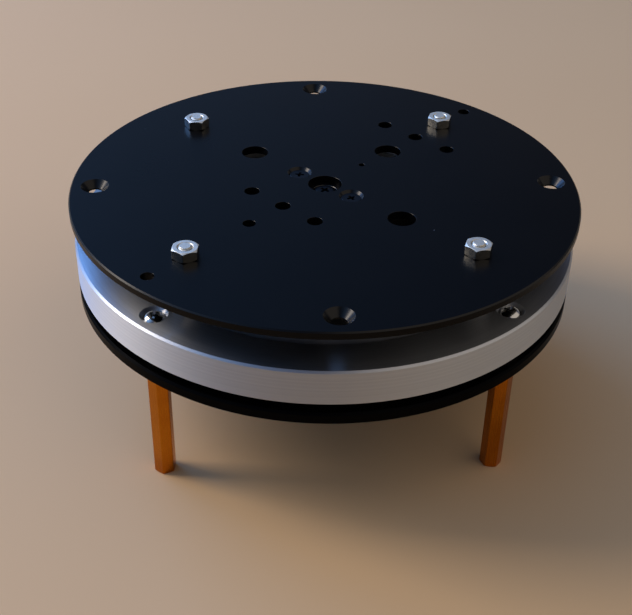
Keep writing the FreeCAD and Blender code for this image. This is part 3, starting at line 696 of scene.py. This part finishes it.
def caseBlock(name, low, high, lowEdge, highEdge):
    block = addBlock(name, servo["xMid"], servo["length"], servo["width"], low, high)
    bevelEdges(block, isUpright, servo["corner"], 6)
    bevelEdges(block, lambda a, b: max(a.z, b.z) < low + near, lowEdge, 3)
    bevelEdges(block, lambda a, b: min(a.z, b.z) > high - near, highEdge, 3)
    return block


def screwBores(low, high):
    bore = turnOnLathe("cutter", [(0, low), (servo["screwHole"], low), (servo["screwHole"], high), (0, high)], 24)
    bores = [copyPiece(bore, "cutter", x, y) for x, y in screwPlaces]
    drop(bore)
    return bores


xMid, length, width, low, burr = take(servo, "xMid length width low deburr")
lowSeam, highSeam, seam, seat, seatHigh = take(servo, "lowSeam highSeam seam screwSeat screwSeatHigh")
case = caseBlock("servoBottomCase", low, lowSeam, servo["rim"], seam)
combine(case, screwBores(seatHigh - spill, lowSeam + 1))
pocket = turnOnLathe("cutter", [(0, low - spill), (seat + burr + spill, low - spill), (seat, low + burr),
                                (seat, seatHigh), (0, seatHigh)], 40)
combine(case, [copyPiece(pocket, "cutter", x, y) for x, y in screwPlaces])
drop(pocket)
endX = xMid - length / 2
deep, wide, glandLow, glandHigh, proud = take(grommet, "deep wide low high proud")
combine(case, [addBlock("cutter", endX, 2 * deep, wide, glandLow, glandHigh)])
finishPiece(case, "base", "servo_plastic", "servo_bottom_case")

case = caseBlock("servoMiddleCase", lowSeam, highSeam, seam, seam)
flangeLow, flangeHigh = take(servo, "flangeLow flangeHigh")
flange = addBlock("flange", xMid, servo["flangeLength"], width, flangeLow, flangeHigh)
bevelEdges(flange, isUpright, servo["corner"], 6)
bevelEdges(flange, lambda a, b: abs(a.z - b.z) < near, servo["flangeEdge"], 3)
cutHoles(flange, [(servo["flangeHole"], burr, burr, 40, flangePlaces)], flangeLow, flangeHigh)
combine(case, [flange], "UNION")
for end in (-1, 1):
    web = addBlock("web", xMid + end * length / 2, 2 * servo["ribReach"], servo["rib"],
                   flangeHigh - servo["ribFoot"], highSeam - seam)
    pickFaces(web, lambda face: face.normal.z > 0.9)
    bpy.ops.transform.resize(value=servo["ribTaper"])
    combine(case, [web], "UNION")
combine(case, screwBores(lowSeam - 1, highSeam + 1))
finishPiece(case, "base", "servo_plastic", "servo_middle_case")

case = caseBlock("servoTopCase", highSeam, servo["high"], seam, servo["rim"])
bossRound, shaft, shaftLow, bush, bushLow = take(servo, "bossRound shaft shaftLow bush bushLow")
for radius, x, high in (servo["boss"], servo["bump"]):
    boss = turnOnLathe("boss", [(0, highSeam + 1), (radius, highSeam + 1), (radius, high - bossRound),
                                (radius - arcMid * bossRound, high - arcMid * bossRound),
                                (radius - bossRound, high), (0, high)], 72)
    combine(case, [copyPiece(boss, "boss", x)], "UNION")
    drop(boss)
combine(case, screwBores(highSeam - 1, servo["screwHigh"]))
past = servo["boss"][2] + spill
combine(case, [turnOnLathe("cutter", [(0, shaftLow), (shaft, shaftLow), (shaft, bushLow), (bush, bushLow),
                                      (bush, past), (0, past)], 64)])
finishPiece(case, "base", "servo_plastic", "servo_top_case")

block = addBlock("servoLeadGrommet", endX + (deep - proud) / 2, deep + proud, wide, glandLow, glandHigh)
bevelEdges(block, lambda a, b: max(a.x, b.x) < endX - 1, grommet["round"], 3)
slotWide, slotHigh = grommet["slot"]
slotMid = (glandLow + glandHigh) / 2
combine(block, [addBlock("cutter", endX, 3 * deep, slotWide, slotMid - slotHigh / 2, slotMid + slotHigh / 2)])
finishPiece(block, "base", "grommet_rubber", "servo_lead_grommet")
print("servo housing:", len(case.data.polygons), "faces in the top moulding")

# Screws of the servo: four up through the housing, four through its flange with nuts below
caseScrews = {"head": 1.8, "shank": 1.0, "low": 5.3, "seat": 6.8, "high": 40.5, "round": 0.3, "tip": 0.4,
              "recess": (2.2, 0.6, 0.8), "turnStep": 25, "steps": 48}
head, shank, low, seat, high, tip = take(caseScrews, "head shank low seat high tip")
headRound = caseScrews["round"]
screw = turnOnLathe("screw", [(0, low), (head - headRound, low),
                              (head - arcMid * headRound, low + arcMid * headRound), (head, low + headRound),
                              (head, seat), (shank, seat), (shank, high - tip), (shank - tip, high), (0, high)],
                    caseScrews["steps"])
combine(screw, [upend(crossCutter(caseScrews["recess"], -low))])
for i, (x, y) in enumerate(screwPlaces):
    copy = copyPiece(screw, "servoCaseScrew_%d" % i, x, y, turn=caseScrews["turnStep"] * i)
    finishPiece(copy, "base", "black_steel", "servo_case_screws")
drop(screw)

quarterTurns = [math.pi / 2 * i / 6 for i in range(7)]   # points along a round


def panProfile(shank, head, seat, rise, low):    # pan head, rounded over the upper half of its rim
    half = rise / 2
    arc = [(head - half + half * math.cos(turn), seat + half + half * math.sin(turn)) for turn in quarterTurns]
    return [(0, low), (shank, low), (shank, seat), (head, seat)] + arc + [(0, seat + rise)]


flangeScrews = {"head": 3.8, "shank": 2.0, "seat": 35.5, "rise": 2.6, "low": 25.8, "threadHigh": 31.0,
                "pitch": 0.7, "lead": 0.4, "recess": (4.0, 1.0, 1.3), "turnStep": 35, "steps": 64}
flangeNuts = {"flats": 7.0, "height": 3.2, "low": 26.8, "chamfer": 0.6, "round": 0.08, "bore": 2.04,
              "boreFlare": 0.4, "turn": 90.0, "steps": 64, "boreSteps": 64}
head, shank, seat, rise, low, threadHigh = take(flangeScrews, "head shank seat rise low threadHigh")
pitch, lead, steps = take(flangeScrews, "pitch lead steps")
screw = turnOnLathe("screw", panProfile(shank, head, seat, rise, threadHigh - spill), steps)
rod = threadedRod("thread", shank, pitch, -threadHigh, -low, lead, steps)
combine(screw, [upend(rod)], "UNION")
combine(screw, [crossCutter(flangeScrews["recess"], seat + rise)])
nut = hexNut(flangeNuts)
for i, (x, y) in enumerate(flangePlaces):
    copy = copyPiece(screw, "servoFlangeScrew_%d" % i, x, y, turn=flangeScrews["turnStep"] * i)
    finishPiece(copy, "base", "plated_steel", "servo_flange_screws")
    copy = copyPiece(nut, "servoFlangeNut_%d" % i, x, y, flangeNuts["low"], flangeNuts["turn"])
    finishPiece(copy, "base", "plated_steel", "servo_flange_nuts")
drop(screw)
drop(nut)
print("servo screws and nuts:", 3 * len(flangePlaces))

# Disc horn between the servo and the top plate, and its screws
horn = {"hub": 4.75, "disc": 12.5, "low": 44.7, "discLow": 49.9, "high": 52.1, "edge": 0.3, "bore": 1.7,
        "spline": 3.0, "splineHigh": 47.95, "seat": 3.0, "seatEdge": 0.1, "seatLow": 50.5, "neck": 0.6,
        "hole": 1.29, "holeRadius": 8.25, "deburr": 0.15, "holeSteps": 40, "steps": 128}
hub, disc, low, discLow, high, edge = take(horn, "hub disc low discLow high edge")
bore, spline, splineHigh, seat, seatEdge, seatLow = take(horn, "bore spline splineHigh seat seatEdge seatLow")
neck = [(hub + horn["neck"] * (1 - math.cos(turn)), discLow - horn["neck"] * (1 - math.sin(turn)))
        for turn in quarterTurns]        # hub into disc
hornDisc = turnOnLathe("servoHorn", [
    (spline, low), (hub - edge, low), (hub, low + edge), *neck, (disc - edge, discLow), (disc, discLow + edge),
    (disc, high - edge), (disc - edge, high), (seat + seatEdge, high), (seat, high - seatEdge), (seat, seatLow),
    (bore, seatLow), (bore, splineHigh), (spline, splineHigh), (spline, low)], horn["steps"])
places = circlePlaces(horn["holeRadius"], 4)
cutHoles(hornDisc, [(horn["hole"], horn["deburr"], horn["deburr"], horn["holeSteps"], places)], discLow, high)
finishPiece(hornDisc, "platform", "horn_aluminium", "servo_horn")
hornScrews = {"head": 2.35, "headEdge": 0.05, "headFlat": 0.12, "shank": 1.25, "low": 49.1, "high": 53.55,
              "lead": 0.3, "recess": (2.6, 0.7, 0.9), "turns": (32, 74), "steps": 64}
head, edge, shank, low, high, lead = take(hornScrews, "head headEdge shank low high lead")
screw = turnOnLathe("screw", [(0, low), (shank - lead, low), (shank, low + lead), (shank, high - (head - shank)),
                              (head - edge, high - edge), (head - hornScrews["headFlat"], high), (0, high)],
                    hornScrews["steps"])
combine(screw, [crossCutter(hornScrews["recess"], high)])
for i, (x, y) in enumerate(circlePlaces(horn["holeRadius"], 2, 90)):
    copy = copyPiece(screw, "hornScrew_%d" % i, x, y, turn=hornScrews["turns"][i])
    finishPiece(copy, "platform", "black_steel", "horn_screws")
drop(screw)
centreScrew = {"head": 2.8, "shank": 1.5, "seat": 50.5, "rise": 2.0, "low": 42.5, "recess": (3.0, 0.8, 1.1),
               "steps": 64}
head, shank, seat, rise, low = take(centreScrew, "head shank seat rise low")
screw = turnOnLathe("hornCentreScrew", panProfile(shank, head, seat, rise, low), centreScrew["steps"])
combine(screw, [crossCutter(centreScrew["recess"], seat + rise)])
finishPiece(screw, "platform", "black_steel", "horn_centre_screw")
print("horn and its screws")

# CAD nodes that stay as they are get their finish
kept = {"bearing_balls": "ball_steel", "ball_cage": "cage_nylon", "servo_output_bush": "bush_bronze",
        "servo_output_shaft": "shaft_steel"}
for node, slot in kept.items():
    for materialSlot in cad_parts[node].material_slots:
        materialSlot.material = finishes[slot]
print("kept CAD nodes:", len(kept))

# Floor: a board with matt paint, so no gloss, and slight clouds in its colour
floor = {"size": 3.4, "colour": "d9b284", "paleColour": "dfba8c", "cloud": 180.0, "roughness": 0.75}
deselectAll()
bpy.ops.mesh.primitive_plane_add(size=floor["size"], location=(0, 0, 0))
ground = bpy.context.object
ground.name = "floor"
material, tree, shader, place = startMaterial("matt_painted_board", {"Roughness": floor["roughness"]})
cloud = addNode(tree, "ShaderNodeTexNoise", {"Scale": 1 / (floor["cloud"] * mm), "Detail": 2.0}, {"Vector": place})
tone = addNode(tree, "ShaderNodeMix", twoTones(floor["colour"], floor["paleColour"]), {0: cloud.outputs["Fac"]})
dress(tree, shader, {"Base Color": tone.outputs[2]})
ground.data.materials.append(material)


def direction(azimuth, elevation):       # degrees, azimuth from +X towards +Y
    a = math.radians(azimuth)
    h = math.radians(elevation)
    return Vector((math.cos(a) * math.cos(h), math.sin(a) * math.cos(h), math.sin(h)))


# Lamps: a window at the left, a cool one beside it, and a large dim one from the right
lamps = {
    "window": {"azimuth": 122, "elevation": 38, "distance": 0.95, "size": (0.32, 0.45), "power": 4.7,
               "colour": "ffefdc"},
    "sky": {"azimuth": 87, "elevation": 37, "distance": 1.1, "size": (0.55, 0.55), "power": 5.0,
            "colour": "6ea8ff"},
    "fill": {"azimuth": 292, "elevation": 42, "distance": 1.3, "size": (2.0, 1.6), "power": 4.8,
             "colour": "ffeed6"},
}
aim = Vector((0, 0, 0.03))
for name, lamp in lamps.items():
    light = bpy.data.lights.new(name, "AREA")
    light.shape = "RECTANGLE"
    light.size, light.size_y = lamp["size"]
    light.energy = lamp["power"]
    light.color = toLinear(lamp["colour"])[:3]
    holder = bpy.data.objects.new(name, light)
    bpy.context.scene.collection.objects.link(holder)
    outward = direction(lamp["azimuth"], lamp["elevation"])
    holder.location = aim + outward * lamp["distance"]
    holder.rotation_euler = (-outward).to_track_quat("-Z", "Y").to_euler()

# Room: pale near the horizon, dim higher up, with a cool glow about the window
room = {"bright": "89bcff", "dim": "4c5060", "brightHorizon": "bccbe0", "dimHorizon": "a29c92", "glowSide": 108.0,
        "glowHeight": 36.0, "glowFrom": 0.38, "glowTo": 0.95, "paleBelow": 0.06, "dimAbove": 0.3}
world = bpy.data.worlds.new("room")
bpy.context.scene.world = world
world.use_nodes = True
tree = world.node_tree
view = addNode(tree, "ShaderNodeTexCoord").outputs["Generated"]
glow = direction(room["glowSide"], room["glowHeight"])
side = addNode(tree, "ShaderNodeVectorMath", {"operation": "DOT_PRODUCT", 1: glow}, {0: view})
lit = addNode(tree, "ShaderNodeMapRange", {"From Min": room["glowFrom"], "From Max": room["glowTo"]},
              {"Value": side.outputs["Value"]})
upper = addNode(tree, "ShaderNodeMix", twoTones(room["dim"], room["bright"]), {0: lit.outputs[0]})
lower = addNode(tree, "ShaderNodeMix", twoTones(room["dimHorizon"], room["brightHorizon"]), {0: lit.outputs[0]})
height = addNode(tree, "ShaderNodeSeparateXYZ", {}, {0: view})
rise = addNode(tree, "ShaderNodeMapRange", {"From Min": room["paleBelow"], "From Max": room["dimAbove"]},
               {"Value": height.outputs["Z"]})
whole = addNode(tree, "ShaderNodeMix", {"data_type": "RGBA"},
                {0: rise.outputs[0], 6: lower.outputs[2], 7: upper.outputs[2]})
tree.links.new(whole.outputs[2], tree.nodes["Background"].inputs["Color"])

shot = {"azimuth": -48.268, "elevation": 34.858, "distance": 0.29315, "roll": 1.107,
        "target": (-0.00105, 0.00118, 0.01826), "lens": 65.4, "sensor": 36.0, "nearest": 0.01}
back = direction(shot["azimuth"] - 90, shot["elevation"])
lens = bpy.data.cameras.new("camera")
lens.lens = shot["lens"]
lens.sensor_width = shot["sensor"]
lens.clip_start = shot["nearest"]
camera = bpy.data.objects.new("camera", lens)
bpy.context.scene.collection.objects.link(camera)
camera.location = Vector(shot["target"]) + back * shot["distance"]
camera.rotation_mode = "QUATERNION"
camera.rotation_quaternion = (-back).to_track_quat("-Z", "Y") @ Quaternion((0, 0, 1), math.radians(shot["roll"]))
bpy.context.scene.camera = camera
bpy.context.scene.view_settings.view_transform = "Standard"
print("floor, lamps and camera")
